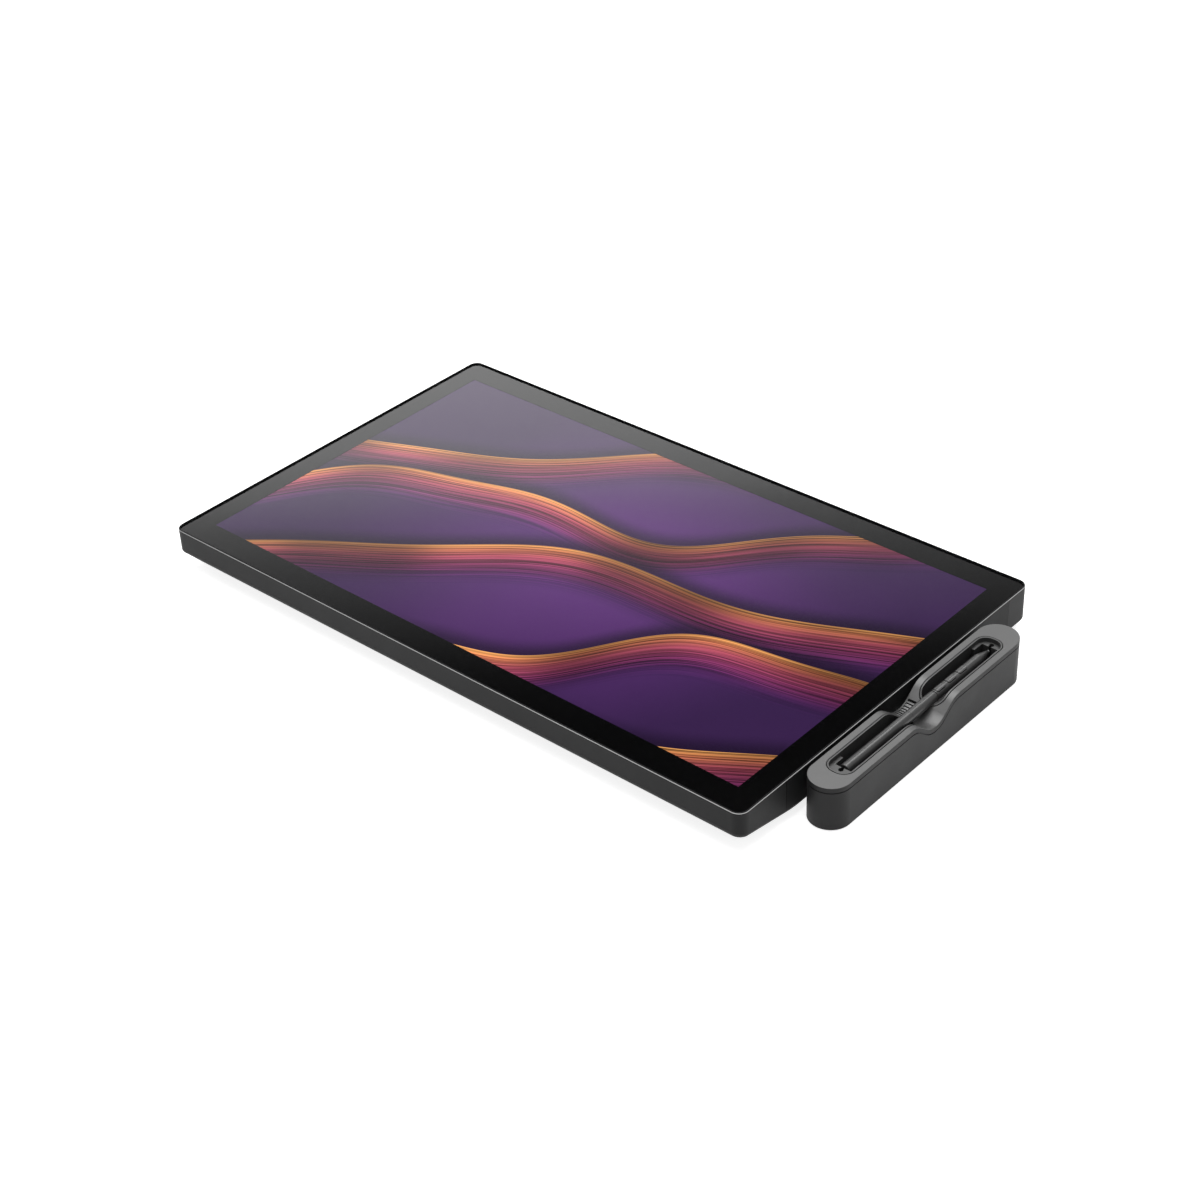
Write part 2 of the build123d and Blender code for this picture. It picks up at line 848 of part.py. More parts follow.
def heat_sink():
    half = sink_width / 2
    fins_y = fan_y + fan_size / 2 + fan_to_fins
    ys = (fins_y, half_length - frame_wall - fin_end_gap)
    base_bottom = chassis_bottom - fin_base
    sink = between((fan_x - half, fan_x + half), ys, (base_bottom, chassis_bottom))
    step = (sink_width - fin_thickness) / (fin_count - 1)
    for k in range(fin_count):
        x = fan_x - half + step * k
        sink += between((x, x + fin_thickness), ys, (fin_bottom(), base_bottom + seat_gap))
    sink += square(chip_x, chip_y, chip_block_size, (fin_bottom() - seat_gap, board_bottom - chip_height))
    pipe_y = fins_y + pipe_width
    pipe_half = pipe_width / 2
    pipe_zs = (fin_bottom() - pipe_height, fin_bottom())
    sink += between((chip_x - pipe_half, chip_x + pipe_half), (chip_y, pipe_y + pipe_half), pipe_zs)
    return sink + between((chip_x, fan_x + half / 2), (pipe_y - pipe_half, pipe_y + pipe_half), pipe_zs)


# Mounting hardware

def wall_mount_plate():
    floor_z = -body_depth + cover_wall
    zs = (floor_z, floor_z + mount_plate_thickness)
    plate = slab(mount_plate_size, mount_plate_size, insert_radius, zs, 0, mount_y)
    for x, y in mount_places():
        plate += post(x, y, (-body_depth, floor_z + seat_gap), insert_radius)
        plate -= post(x, y, (-body_depth - overrun, zs[1] + overrun), insert_bore)
    return plate


def rubber_feet():
    feet = []
    for x, y in foot_places():
        foot = foot_block(x, y, 0, (-body_depth - foot_height, -body_depth + foot_seat))
        feet.append(chamfer(foot.edges().group_by(Axis.Z)[0], foot_edge))
    return group(feet)


def small_screws():
    one = screw(small_shank_radius, small_shank_length, small_head_radius, small_head_height)
    under_chassis = [Pos(x, y, chassis_bottom) * one for x, y in frame_boss_places()]
    under_boards = [Pos(x, y, board_bottom) * one for x, y in standoff_places()]
    return group(under_chassis + under_boards)


def rear_screws():
    seat_z = -body_depth + rear_recess_depth
    length = chassis_top - seat_gap - seat_z
    one = screw(cover_shank_radius, length, cover_head_radius, cover_head_height)
    return group(Pos(x, y, seat_z) * one for x, y in rear_screw_places())


def mount_rails():
    zs = (pivot_z - rail_height / 2, pivot_z + rail_height / 2)
    rails = []
    for side in (-1, 1):
        near = half_width - frame_wall - seat_gap
        xs = (near - rail_width, near) if side > 0 else (-near, rail_width - near)
        rail = between(xs, (-rail_length / 2, rail_length / 2), zs)
        for hole_side in (-1, 1):
            hole_xs = (xs[0] - overrun, xs[1] + overrun)
            rail -= rod_x(hole_xs, hole_side * bracket_screw_y, pivot_z, cover_shank_radius + seat_gap)
        rails.append(rail)
    return group(rails)


def bracket_seat():
    return half_width + bracket_thickness / 2


def tray_bracket():
    height = 2 * bracket_half_height
    outline = RectangleRounded(2 * (bracket_screw_y + bracket_end), height, height * round_end_share)
    plate = Pos(half_width, 0, pivot_z) * extrude(Plane.YZ * outline, bracket_thickness)
    boss_end = half_width + tray_gap - 2 * run_gap
    bracket = plate + rod_x((half_width, boss_end), 0, pivot_z, bracket_half_height)
    bracket -= rod_x((half_width - overrun, boss_end + overrun), 0, pivot_z, pivot_radius + seat_gap)
    for hole in bracket_holes(cover_shank_radius + seat_gap):
        bracket -= hole
    for side in (-1, 1):
        recess = (bracket_seat(), boss_end)
        bracket -= rod_x(recess, side * bracket_screw_y, pivot_z, cover_head_radius + seat_gap)
    return bracket


def bracket_screws():
    one = screw(cover_shank_radius, bracket_shank_length, cover_head_radius, cover_head_height / 2)
    turned = Rot(0, -90, 0) * one
    return group(Pos(bracket_seat(), side * bracket_screw_y, pivot_z) * turned for side in (-1, 1))


def tray_pivot():
    wall_inside = half_width + tray_gap + tray_wall
    head_start = wall_inside + run_gap
    pin = rod_x((half_width + seat_gap, head_start + seat_gap), 0, pivot_z, pivot_radius)
    pin += rod_x((head_start, head_start + pivot_head_height), 0, pivot_z, pivot_head_radius)
    depth = pivot_head_height * socket_depth_share
    socket = extrude(Plane.YZ * RegularPolygon(pivot_head_radius * socket_share, 6), depth)
    return pin - Pos(head_start + pivot_head_height - depth, 0, pivot_z) * socket


# Buttons of the display

def rear_key(x, y):
    floor_z = -body_depth + cover_wall
    flange_zs = (floor_z + seat_gap, floor_z + seat_gap + key_flange_thickness)
    cap_zs = (-body_depth - key_proud, flange_zs[1])
    cap = slab(key_width, key_length, key_width * round_end_share, cap_zs, x, y)
    cap = chamfer(cap.edges().group_by(Axis.Z)[0], key_proud / 2)
    width = key_width + 2 * key_flange
    length = key_length + 2 * key_flange
    return cap + slab(width, length, width * round_end_share, flange_zs, x, y)


def switch_boards():
    bottom = key_board_bottom()
    low, high = key_board_ends()
    boards = []
    for side in (-1, 1):
        x = side * (half_width - key_inset)
        half = key_board_width / 2
        pcb = between((x - half, x + half), (low, high), (bottom, bottom + board_thickness))
        for key_x, key_y in key_places():
            if key_x * side > 0:
                pcb += square(key_x, key_y, tact_size, (bottom - tact_height, bottom))
        boards.append(pcb)
    face_y = back_board_face()
    posts = back_board_posts()
    xs = (posts[0] - board_post_inset, posts[1] + board_post_inset)
    zs = (back_switch_z - back_board_height / 2, back_switch_z + back_board_height / 2)
    pcb = between(xs, (face_y - board_thickness, face_y), zs)
    reach = tact_size / 2
    tact_zs = (back_switch_z - reach, back_switch_z + reach)
    for x in (half_width - power_inset, half_width - touch_inset):
        pcb += between((x - reach, x + reach), (face_y, face_y + tact_height), tact_zs)
    return group(boards + [pcb])


def back_board_face():
    flange_y = half_length - frame_wall - seat_gap - key_flange_thickness
    return flange_y - power_travel - seat_gap - tact_height


def back_board_posts():
    reach = back_board_margin - board_post_inset
    return half_width - touch_inset - reach, half_width - power_inset + reach


def power_button():
    x = half_width - power_inset
    wall_y = half_length - frame_wall
    flange = (wall_y - seat_gap - key_flange_thickness, wall_y - seat_gap)
    button = rod_y(x, (flange[0], half_length + power_proud), back_switch_z, power_radius)
    button = chamfer(button.edges().group_by(Axis.Y)[-1], power_proud / 2)
    return button + rod_y(x, flange, back_switch_z, power_radius + key_flange)


def touch_switch():
    # drawn at the left end of its slot
    x = half_width - touch_inset - touch_travel / 2
    wall_y = half_length - frame_wall
    half = touch_width / 2
    half_height = touch_height / 2
    zs = (back_switch_z - half_height, back_switch_z + half_height)
    flange_ys = (wall_y - seat_gap - key_flange_thickness, wall_y - seat_gap)
    slider = between((x - half, x + half), (flange_ys[0], half_length + touch_proud), zs)
    for k in (-1, 0, 1):
        groove_x = x + k * half / 2
        ys = (half_length + touch_proud / 2, half_length + touch_proud + overrun)
        slider -= between((groove_x - touch_groove / 2, groove_x + touch_groove / 2), ys, zs)
    grow = key_flange
    return slider + between((x - half - grow, x + half + grow), flange_ys, (zs[0] - grow, zs[1] + grow))


# Pen tray

def dip_radius():
    angle = math.radians(dip_slope)
    spare = dip_half_length * math.sin(angle) - dip_depth * math.cos(angle)
    return spare / (2 * (1 - math.cos(angle)))


def below_dip(drop, bottom):
    # all that is under the tray's dipped top once this is lowered
    radius = dip_radius()
    corner = dip_half_length - radius * math.tan(math.radians(dip_slope / 2))
    foot = radius * math.tan(math.radians(dip_slope / 2))
    end = tray_length / 2 + overrun
    low = -drop - dip_depth
    points = ((-end, -drop), (-corner, -drop), (-foot, low), (foot, low), (corner, -drop), (end, -drop))
    top = FilletPolyline(*points, radius=radius * blend_share)
    rest = Polyline((end, -drop), (end, bottom), (-end, bottom), (-end, -drop))
    profile = Plane.YZ * make_face(top + rest)
    return Pos(tray_x, 0, 0) * extrude(profile, tray_width / 2 + overrun, both=True)


def tray_plan(inset, zs):
    outline = SlotOverall(tray_length - 2 * inset, tray_width - 2 * inset, rotation=90)
    return Pos(tray_x, 0, zs[0]) * extrude(outline, zs[1] - zs[0])


def pocket_plans():
    front = (-pocket_end, -front_pocket_start)
    rear = (rear_pocket_start, pocket_end)
    return front, rear


def pocket_block(ys, inset, zs):
    width = pocket_width - 2 * inset
    length = ys[1] - ys[0] - 2 * inset
    corner = min(pocket_corner - inset, width * round_end_share)
    return slab(width, length, corner, zs, tray_x, sum(ys) / 2)


def nib_slot_places():
    return [nib_slot_first_y + nib_slot_pitch * k for k in range(nib_slot_count)]


def nib_slot_start():
    return tray_x - tray_width / 2 + nib_slot_inset


def top_outline(block):
    # the edges that bound the block's upward faces, without those between two such faces
    least = math.cos(math.radians(dip_slope)) * blend_share
    edges = [e for f in block.faces() if f.normal_at().Z > least for e in f.edges()]
    return [e for e in edges if sum(e.is_same(other) for other in edges) == 1]


def pen_channel(ys):
    return rod_y(tray_x, ys, pen_z, pen_radius + part_gap)


def tray_cap():
    cap = tray_plan(0, (tray_bottom, 0)) & below_dip(0, tray_bottom - overrun)
    cap = fillet(top_outline(cap), cap_edge)
    cap -= below_dip(cap_thickness, tray_bottom - 2 * overrun)
    for ys in pocket_plans():
        cap -= pocket_block(ys, 0, (tray_bottom, overrun))
    reach = pocket_width / 2 + seat_gap
    rims = [e for e in top_outline(cap) if abs(e.center().X - tray_x) < reach]
    cap = chamfer([e for e in rims if abs(e.center().Y) < pocket_end + seat_gap], pocket_edge)
    cap -= pen_channel((-front_pocket_start - overrun, rear_pocket_start + overrun))
    for x, y in tray_post_places():
        cap += post(x, y, (tray_boss_top(), seat_gap - cap_thickness), tray_post_radius)
        hole_top = tray_screw_seat() + tray_shank_length + part_gap
        cap -= post(x, y, (tray_boss_top() - overrun, hole_top), cover_shank_radius + seat_gap)
    start = nib_slot_start()
    slot_floor = below_dip(nib_slot_depth, tray_bottom)
    for y in nib_slot_places():
        ys = (y - nib_slot_width / 2, y + nib_slot_width / 2)
        cap -= between((start, start + nib_slot_length), ys, (tray_bottom, overrun)) - slot_floor
    return cap


def tray_post_places():
    y = pocket_end + tray_post_setback
    return [(tray_x + i * tray_post_x, j * y) for i in (-1, 1) for j in (-1, 1)]


def tray_boss_top():
    return tray_bottom + tray_boss_height


def tray_screw_seat():
    return tray_bottom + tray_recess_depth


def tray_shell():
    body = tray_plan(0, (tray_bottom, 0)) & below_dip(cap_thickness, tray_bottom - overrun)
    body -= tray_plan(tray_wall, (tray_bottom + tray_floor, overrun))
    groove = tray_plan(-overrun, (tray_bottom, 0)) - tray_plan(groove_depth, (tray_bottom - overrun, overrun))
    body -= groove - below_dip(cap_thickness + groove_height, tray_bottom - 2 * overrun)
    for x, y in tray_post_places():
        boss = (tray_bottom + tray_floor - seat_gap, tray_boss_top() - seat_gap)
        body += post(x, y, boss, cover_shank_radius + tray_boss_wall)
        body -= post(x, y, (tray_bottom - overrun, tray_boss_top()), cover_shank_radius + seat_gap)
        body -= post(x, y, (tray_bottom - overrun, tray_screw_seat()), cover_head_radius + seat_gap)
    hole_xs = (tray_x - tray_width / 2 - overrun, tray_x - tray_width / 2 + tray_wall + overrun)
    return body - rod_x(hole_xs, 0, pivot_z, pivot_radius + run_gap)


def liner_floor_top():
    return -(dip_depth + cap_thickness)


def tray_liner():
    floor_top = liner_floor_top()
    floor_bottom = floor_top - liner_floor
    web_half = pocket_width / 4
    web_ys = (-front_pocket_start - liner_wall, rear_pocket_start + liner_wall)
    liner = between((tray_x - web_half, tray_x + web_half), web_ys, (floor_bottom, floor_top - seat_gap))
    for ys in pocket_plans():
        tub = pocket_block(ys, liner_gap, (floor_bottom, 0)) & below_dip(lip_drop, floor_bottom - overrun)
        liner += tub - pocket_block(ys, liner_gap + liner_wall, (floor_top, overrun))
    xs = (tray_x - saddle_width / 2, tray_x + saddle_width / 2)
    for y in (pen_tail + saddle_tail_inset, nose_straight_end - saddle_nose_inset):
        ys = (y - saddle_thickness / 2, y + saddle_thickness / 2)
        liner += between(xs, ys, (floor_top - seat_gap, pen_z - pen_radius / 2))
    return liner - pen_channel((pen_tail, nose_straight_end))


def cradle(side, arm, slot_end):
    # a C-shaped ledge round one end of the pen, with a keyhole beyond the pen
    ys = pocket_plans()[0] if side < 0 else pocket_plans()[1]
    zs = (liner_floor_top(), -cradle_drop)
    tall = (zs[0] - overrun, zs[1] + overrun)
    block = pocket_block(ys, liner_gap + liner_wall + seat_gap, zs)
    block &= end_box(side, pocket_width, pocket_end - arm, pocket_end, tall)
    block -= end_box(side, cradle_slot_width, 0, slot_end, tall)
    block -= end_box(side, keyhole_neck, slot_end - overrun, slot_end + keyhole_reach, tall)
    return block - post(tray_x, side * (slot_end + keyhole_reach), tall, keyhole_radius)


def end_box(side, width, near, far, zs):
    ys = (-far, -near) if side < 0 else (near, far)
    return between((tray_x - width / 2, tray_x + width / 2), ys, zs)


def pen_cradles():
    front = cradle(-1, front_cradle_arm, front_cradle_slot_end)
    return group([front, cradle(1, rear_cradle_arm, rear_cradle_slot_end)])


def spare_nibs():
    radius = dip_radius()
    length = nib_slot_length - 2 * spare_nib_end_gap
    start = nib_slot_start() + spare_nib_end_gap
    nibs = []
    for y in nib_slot_places()[:spare_nib_count]:
        lean = math.asin(y / radius)
        slot_floor = -dip_depth + radius * (1 - math.cos(lean)) - nib_slot_depth
        z = slot_floor + nib_radius / math.cos(lean) + seat_gap
        nibs.append(rod_x((start, start + length), y, z, nib_radius))
    return group(nibs)


def tray_screws():
    one = screw(cover_shank_radius, tray_shank_length, cover_head_radius, cover_head_height)
    return group(Pos(x, y, tray_screw_seat()) * one for x, y in tray_post_places())


def tray_base_pad():
    pad = tray_plan(pad_inset, (tray_bottom - pad_thickness, tray_bottom))
    for x, y in tray_post_places():
        pad -= post(x, y, (tray_bottom - 2 * overrun, tray_bottom + overrun), cover_head_radius + seat_gap)
    return pad


# Pen, lying along Y

def pen_tube(ys, outer, inner):
    hollow = (ys[0] - overrun, ys[1] + overrun)
    return rod_y(tray_x, ys, pen_z, outer) - rod_y(tray_x, hollow, pen_z, inner)


def pen_tail_cap():
    joint = pen_tail + tail_cap_length
    cap = rod_y(tray_x, (pen_tail, joint), pen_z, pen_radius)
    cap = fillet(cap.edges().group_by(Axis.Y)[0], tail_edge)
    return cap + pen_tube((joint - seat_gap, joint + spigot_length), spigot_radius, spigot_bore)


def pen_barrel_rear():
    barrel = pen_tube((pen_tail + tail_cap_length + pen_seam, pen_joint_y), pen_radius, pen_bore)
    collar_ys = (pen_joint_y - spigot_length, pen_joint_y + spigot_length)
    collar = pen_tube(collar_ys, pen_bore + seat_gap, spigot_bore)
    return barrel + collar - pen_tube((pen_joint_y, collar_ys[1] + overrun), pen_radius, spigot_radius)


def switch_span(k):
    steps = switch_count - 1 - k
    end = pen_nose_joint_y - switch_end_gap - (switch_length + switch_spacing) * steps
    return end - switch_length, end


def switch_plan(k, grow, zs):
    width = switch_width + 2 * grow
    length = switch_length + 2 * grow
    return slab(width, length, switch_corner + grow, zs, tray_x, sum(switch_span(k)) / 2)


def pen_barrel_front():
    barrel = pen_tube((pen_joint_y + pen_seam, pen_nose_joint_y), pen_radius, pen_bore)
    for k in range(ring_count):
        y = switch_span(0)[0] - ring_gap - ring_pitch * k
        ys = (y - ring_width / 2, y + ring_width / 2)
        barrel -= pen_tube(ys, pen_radius + overrun, pen_radius - ring_depth)
    for k in range(switch_count):
        barrel -= switch_plan(k, switch_gap, (pen_z, pen_z + pen_radius + overrun))
    return barrel


def pen_switch(k):
    outer = pen_radius + switch_proud
    inner = outer - switch_thickness
    ys = switch_span(k)
    middle = sum(ys) / 2
    cap = pen_tube(ys, outer, inner) & switch_plan(k, 0, (pen_z, pen_z + outer + overrun))
    stem_zs = (pen_tact_top() + switch_travel + seat_gap, pen_z + inner + seat_gap)
    cap += square(tray_x, middle, switch_stem, stem_zs)
    if k == switch_count // 2:
        cap += Pos(tray_x, middle, pen_z + outer - dimple_radius / 2) * Sphere(dimple_radius)
    return cap


def pen_tact_top():
    return pen_z - circuit_drop + pen_tact_height


def pen_circuit():
    top = pen_z - circuit_drop
    low = top - circuit_thickness
    half = math.sqrt(spigot_bore ** 2 - (pen_z - low) ** 2) - circuit_gap
    last = sum(switch_span(switch_count - 1)) / 2 + pen_tact_length / 2 + circuit_margin
    circuit = between((tray_x - half, tray_x + half), (pen_joint_y - circuit_reach, last), (low, top))
    for k in range(switch_count):
        middle = sum(switch_span(k)) / 2
        ys = (middle - pen_tact_length / 2, middle + pen_tact_length / 2)
        circuit += between((tray_x - switch_stem, tray_x + switch_stem), ys, (top, pen_tact_top()))
    return circuit


def pen_nose():
    joint = pen_nose_joint_y + pen_seam
    nose = pen_tube((joint, nose_straight_end), pen_radius, pen_bore)
    nose += pen_tube((joint, joint + spigot_web), pen_bore + seat_gap, spigot_bore)
    nose += pen_tube((pen_nose_joint_y - spigot_length, joint + seat_gap), spigot_radius, spigot_bore)
    middle = nose_straight_end + nose_cone_length / 2
    cone = Rot(-90, 0, 0) * Cone(pen_radius, nose_end_radius, nose_cone_length)
    guide_ys = (nose_straight_end - overrun, nose_end + overrun)
    guide = rod_y(tray_x, guide_ys, pen_z, nib_radius + nib_run_gap)
    return nose + Pos(tray_x, middle, pen_z) * cone - guide


def coil_start():
    return nose_straight_end - seat_gap - nose_coil_length


def nib_tail():
    return coil_start() - seat_gap - nib_grip


def pen_nib():
    shank = rod_y(tray_x, (nib_tail(), pen_tip - nib_radius), pen_z, nib_radius)
    return shank + Pos(tray_x, pen_tip - nib_radius, pen_z) * Sphere(nib_radius)


def pen_coil():
    return pen_tube((coil_start(), coil_start() + nose_coil_length), pen_bore - circuit_gap, nib_bore)


def pen_pressure_sensor():
    end = coil_start() - seat_gap
    body = rod_y(tray_x, (end - sensor_length, end), pen_z, pen_bore - circuit_gap)
    return body - rod_y(tray_x, (nib_tail() - nib_travel - slide_gap, end + overrun), pen_z, nib_bore)


def write(name, piece):
    place = Pos(shift_x, shift_y, shift_z)
    export_step(place * piece, "parts/" + name + ".step")
    print(name, len(piece.solids()), round(piece.volume))


os.makedirs("parts", exist_ok=True)
blank = outer_block()
write("side_frame", side_frame(blank))
write("rear_cover", rear_cover(blank))
write("left_side_cover", side_cover(blank, -1))
write("right_side_cover", side_cover(blank, 1))
write("cover_glass", cover_glass())
write("bezel_mask", bezel_mask())
write("glass_tape", glass_tape())
write("lcd_panel", lcd_panel())
write("backlight_unit", backlight_unit())
write("led_bar", led_bar())
write("pen_sensor_board", pen_sensor_board())
write("inner_chassis", inner_chassis())
write("display_ribbon", display_ribbon())
write("main_board", main_board())
write("power_board", power_board())
write("port_board", port_board())
write("video_socket", plug_socket(video_x, video_width, video_height))
write("display_socket", plug_socket(display_x, display_width, display_height))
write("data_socket", plug_socket(data_x, data_width, data_height))
write("power_socket", power_socket())
write("fan_housing", fan_housing())
write("fan_rotor", fan_rotor())
write("heat_sink", heat_sink())
write("wall_mount_plate", wall_mount_plate())
write("rubber_feet", rubber_feet())
write("small_screws", small_screws())
write("rear_screws", rear_screws())
write("mount_rails", mount_rails())
write("tray_bracket", tray_bracket())
write("bracket_screws", bracket_screws())
write("tray_pivot", tray_pivot())
write("switch_boards", switch_boards())
write("power_button", power_button())
write("touch_switch", touch_switch())
for number, (key_x, key_y) in enumerate(key_places(), 1):
    write("rear_key_%d" % number, rear_key(key_x, key_y))
write("tray_shell", tray_shell())
write("tray_cap", tray_cap())
write("tray_liner", tray_liner())
write("pen_cradles", pen_cradles())
write("spare_nibs", spare_nibs())
write("tray_screws", tray_screws())
write("tray_base_pad", tray_base_pad())
write("pen_tail_cap", pen_tail_cap())
write("pen_barrel_rear", pen_barrel_rear())
write("pen_barrel_front", pen_barrel_front())
write("pen_nose", pen_nose())
write("pen_nib", pen_nib())
for name, k in (("rear", 0), ("middle", 1), ("front", 2)):
    write("pen_switch_" + name, pen_switch(k))
write("pen_circuit", pen_circuit())
write("pen_coil", pen_coil())
write("pen_pressure_sensor", pen_pressure_sensor())
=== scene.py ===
import math

import bpy
from mathutils import Matrix, Vector


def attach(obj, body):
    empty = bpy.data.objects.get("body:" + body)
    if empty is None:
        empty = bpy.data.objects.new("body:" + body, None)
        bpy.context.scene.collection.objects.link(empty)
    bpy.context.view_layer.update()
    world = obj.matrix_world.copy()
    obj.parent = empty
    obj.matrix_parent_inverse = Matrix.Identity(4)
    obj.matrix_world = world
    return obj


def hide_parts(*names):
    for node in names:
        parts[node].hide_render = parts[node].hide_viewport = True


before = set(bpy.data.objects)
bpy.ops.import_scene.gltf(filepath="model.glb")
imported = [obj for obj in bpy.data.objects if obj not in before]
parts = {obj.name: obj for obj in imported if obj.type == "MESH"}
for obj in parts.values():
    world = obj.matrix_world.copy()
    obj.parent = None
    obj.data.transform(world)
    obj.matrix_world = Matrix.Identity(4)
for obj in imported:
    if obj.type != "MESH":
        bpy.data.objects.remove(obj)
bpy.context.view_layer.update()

# A pen display on a white floor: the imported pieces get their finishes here, and the
# screen gets its picture. Metres throughout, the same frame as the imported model.

scene = bpy.context.scene
print("frame loaded:", len(parts), "pieces")


def feed(tree, socket, value):
    if isinstance(value, bpy.types.NodeSocket):
        tree.links.new(value, socket)
    elif socket.type == "RGBA" and len(value) == 3:
        socket.default_value = (*value, 1.0)
    else:
        socket.default_value = value


def addNode(tree, kind, setup=None, **inputs):
    made = tree.nodes.new("ShaderNode" + kind)
    for name, value in (setup or {}).items():
        setattr(made, name, value)
    for name, value in inputs.items():
        feed(tree, made.inputs[name], value)
    return made


def calc(tree, operation, *terms):
    made = addNode(tree, "Math", {"operation": operation})
    for socket, term in zip(made.inputs, terms):
        feed(tree, socket, term)
    return made.outputs[0]


def ramp(tree, value, low, high, newLow=0.0, newHigh=1.0, soft=False):
    made = addNode(tree, "MapRange", {"interpolation_type": "SMOOTHSTEP" if soft else "LINEAR"})
    for name, term in (("Value", value), ("From Min", low), ("From Max", high),
                       ("To Min", newLow), ("To Max", newHigh)):
        feed(tree, made.inputs[name], term)
    return made.outputs[0]


def mixColours(tree, share, first, second, how="MIX"):
    # the Mix node keeps its colour sockets behind those for numbers and vectors
    made = addNode(tree, "Mix", {"data_type": "RGBA", "blend_type": how})
    feed(tree, made.inputs[0], share)
    feed(tree, made.inputs[6], first)
    feed(tree, made.inputs[7], second)
    return made.outputs[2]


def speckle(tree, place, size, detail=2.0, stretch=None):
    if stretch:
        place = addNode(tree, "Mapping", Vector=place, Scale=stretch).outputs[0]
    made = addNode(tree, "TexNoise", Vector=place, Scale=1.0 / size, Detail=detail)
    return made.outputs["Fac"]


grainLook = {
    "span": (0.3, 0.7),  # nearly all of a noise's values lie between these
    "patchDetail": 3.0,
    "patchShare": 0.6,
}


def spread(tree, noise, low=0.0, high=1.0):
    return ramp(tree, noise, *grainLook["span"], low, high)


def newMaterial(name):
    made = bpy.data.materials.new(name)
    made.use_nodes = True
    tree = made.node_tree
    surface = tree.nodes["Principled BSDF"]
    place = addNode(tree, "TexCoord").outputs["Object"]
    return made, tree, surface, place


def relief(tree, surface, height, depth):
    bump = addNode(tree, "Bump", Strength=1.0, Distance=depth, Height=height)
    tree.links.new(bump.outputs[0], surface.inputs["Normal"])


def grained(name, look):
    # a moulded, blasted or brushed surface: fine grain in relief, and faint broad patches
    made, tree, surface, place = newMaterial(name)
    patches = speckle(tree, place, look["patch"], grainLook["patchDetail"])
    grain = speckle(tree, place, look["grain"], stretch=look.get("stretch"))
    both = calc(tree, "ADD", calc(tree, "MULTIPLY", patches, grainLook["patchShare"]),
                calc(tree, "MULTIPLY", grain, 1.0 - grainLook["patchShare"]))
    colour = mixColours(tree, spread(tree, both), look["colour"], look["shade"])
    feed(tree, surface.inputs["Base Color"], colour)
    feed(tree, surface.inputs["Roughness"], spread(tree, both, *look["rough"]))
    surface.inputs["Metallic"].default_value = look.get("metal", 0.0)
    surface.inputs["Specular IOR Level"].default_value = look.get("gloss", 0.5)
    relief(tree, surface, grain, look["depth"])
    return made


def dress(material, *names):
    for name in names:
        mesh = parts[name].data
        mesh.materials.clear()
        mesh.materials.append(material)


facing = {"level": 0.9, "upright": 0.3}  # by the upward part of a face's normal


def dressFaces(name, material, chosen):
    # a second finish on some faces of a piece
    mesh = parts[name].data
    mesh.materials.append(material)
    for face in mesh.polygons:
        if chosen(face):
            face.material_index = len(mesh.materials) - 1


cameraLook = {
    "place": (0.89015, -0.97204, 0.90252),
    "heading": 42.717,
    "tilt": 34.354,
    "roll": -2.667,
    "lens": 68.76,
    "sensor": 36.0,
    "nearest": 0.05,
    "farthest": 50.0,
}

eye = bpy.data.cameras.new("camera")
eye.lens, eye.sensor_width = cameraLook["lens"], cameraLook["sensor"]
eye.clip_start, eye.clip_end = cameraLook["nearest"], cameraLook["farthest"]
camera = bpy.data.objects.new("camera", eye)
scene.collection.objects.link(camera)
turn = (Matrix.Rotation(math.radians(cameraLook["heading"]), 4, "Z")
        @ Matrix.Rotation(math.radians(90 - cameraLook["tilt"]), 4, "X")
        @ Matrix.Rotation(math.radians(cameraLook["roll"]), 4, "Z"))
camera.matrix_world = Matrix.Translation(cameraLook["place"]) @ turn
scene.camera = camera
scene.view_settings.view_transform = "Standard"
print("camera placed")


caseLook = {
    "frame": {"colour": (0.009, 0.009, 0.0093), "shade": (0.007, 0.007, 0.0073), "patch": 0.03,
              "grain": 0.00022, "rough": (0.48, 0.54), "depth": 0.000005, "gloss": 0.12},
    "rim": {"colour": (0.56, 0.56, 0.56), "shade": (0.50, 0.50, 0.50), "patch": 0.03,
            "grain": 0.002, "rough": (0.36, 0.40), "depth": 0.0, "metal": 1.0},
    "plastic": {"colour": (0.009, 0.009, 0.0093), "shade": (0.007, 0.007, 0.0073), "patch": 0.025,
                "grain": 0.0003, "rough": (0.48, 0.56), "depth": 0.00001, "gloss": 0.18},
    "side": {"colour": (0.007, 0.007, 0.0073), "shade": (0.005, 0.005, 0.0053), "patch": 0.025,
             "grain": 0.0003, "rough": (0.50, 0.56), "depth": 0.00001, "gloss": 0.1},
    "land": {"colour": (0.0015, 0.0015, 0.0015), "shade": (0.001, 0.001, 0.001), "patch": 0.03,
             "grain": 0.002, "rough": (0.60, 0.66), "depth": 0.0, "gloss": 0.05},
    "rimFoot": 0.0324,  # faces above this height belong to the rim round the glass
    # above this height the cut rim is painted black, a painted shadow of the glass
    "rimPaintedShadowFrom": 0.03281,
    # the side covers' ends are painted black this far in: painted shade in the seams to the frame
    "paintedSeamShadeWidth": 0.0004,
    "lineFade": 0.00003,
}


def blackFrom(made, axis, middle, start):
    # the finish turns black further than start from middle, along one axis: painted shade, at the side
    # covers' seams and the rim's upper edge
    tree = made.node_tree
    surface = tree.nodes["Principled BSDF"]
    spot = addNode(tree, "SeparateXYZ", Vector=addNode(tree, "TexCoord").outputs["Object"]).outputs[axis]
    reach = calc(tree, "ABSOLUTE", calc(tree, "SUBTRACT", spot, middle))
    black = ramp(tree, reach, start, start + caseLook["lineFade"])
    plain = surface.inputs["Base Color"].links[0].from_socket
    feed(tree, surface.inputs["Base Color"], mixColours(tree, black, plain, (0.0, 0.0, 0.0)))
    return black


